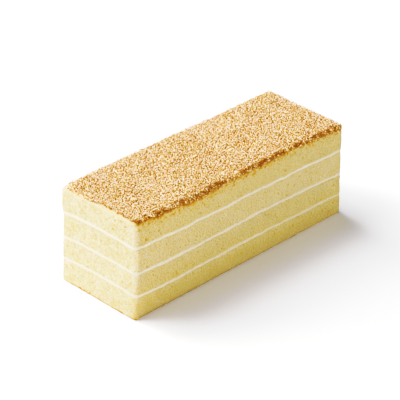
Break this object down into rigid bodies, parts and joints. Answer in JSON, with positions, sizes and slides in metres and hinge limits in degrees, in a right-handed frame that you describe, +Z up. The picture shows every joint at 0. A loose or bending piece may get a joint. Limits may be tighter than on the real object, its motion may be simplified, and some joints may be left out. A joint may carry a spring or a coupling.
{
  "type": "layer sponge cake",
  "caption": "Long bar of layer sponge cake with thin cream between its sheets and fine toasted crumbs over its browned top.",
  "frame": {"origin": "middle of the flat underside, where the cake rests", "axes": "+Z up through the layers, +X along the bar's long sides, +Y from the front long side to the back one"},
  "size_m": [0.1834, 0.0652, 0.0667],
  "materials": {
    "sponge": "matt, open-textured pale yellow sponge with fine pores",
    "cream": "smooth off-white cream with a soft sheen",
    "toasted_crumb": "dry toasted crumbs, pale tan to orange brown"
  },
  "bodies": {
    "root": {"sponge_layer_1": "sponge", "cream_layer_1": "cream", "sponge_layer_2": "sponge", "cream_layer_2": "cream", "sponge_layer_3": "sponge", "cream_layer_3": "cream", "sponge_layer_4": "toasted_crumb"}
  },
  "joints": []
}
